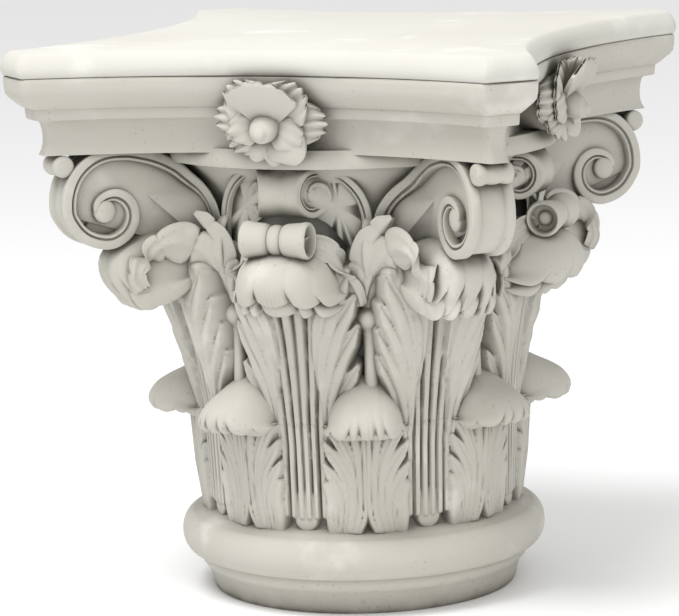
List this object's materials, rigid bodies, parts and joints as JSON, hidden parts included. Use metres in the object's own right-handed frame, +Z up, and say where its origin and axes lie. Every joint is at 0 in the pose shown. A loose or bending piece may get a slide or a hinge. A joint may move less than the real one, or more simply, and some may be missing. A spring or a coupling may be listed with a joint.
{
  "type": "corinthian capital",
  "caption": "Corinthian column capital with acanthus leaves, corner scrolls and a concave-sided flat top, cast to stand as a small pedestal.",
  "frame": {"origin": "centre of the round underside", "axes": "+Z up along the capital's axis, -Y towards the front face, with a flower in the middle of each of the four sides"},
  "size_m": [0.3904, 0.3904, 0.4],
  "materials": {
    "cast_stone": "matte cast stone with grey in the hollows",
    "plate_stone": "matte cast stone, rubbed smooth"
  },
  "bodies": {
    "root": {"capital": "cast_stone", "top_plate": "plate_stone"}
  },
  "joints": []
}
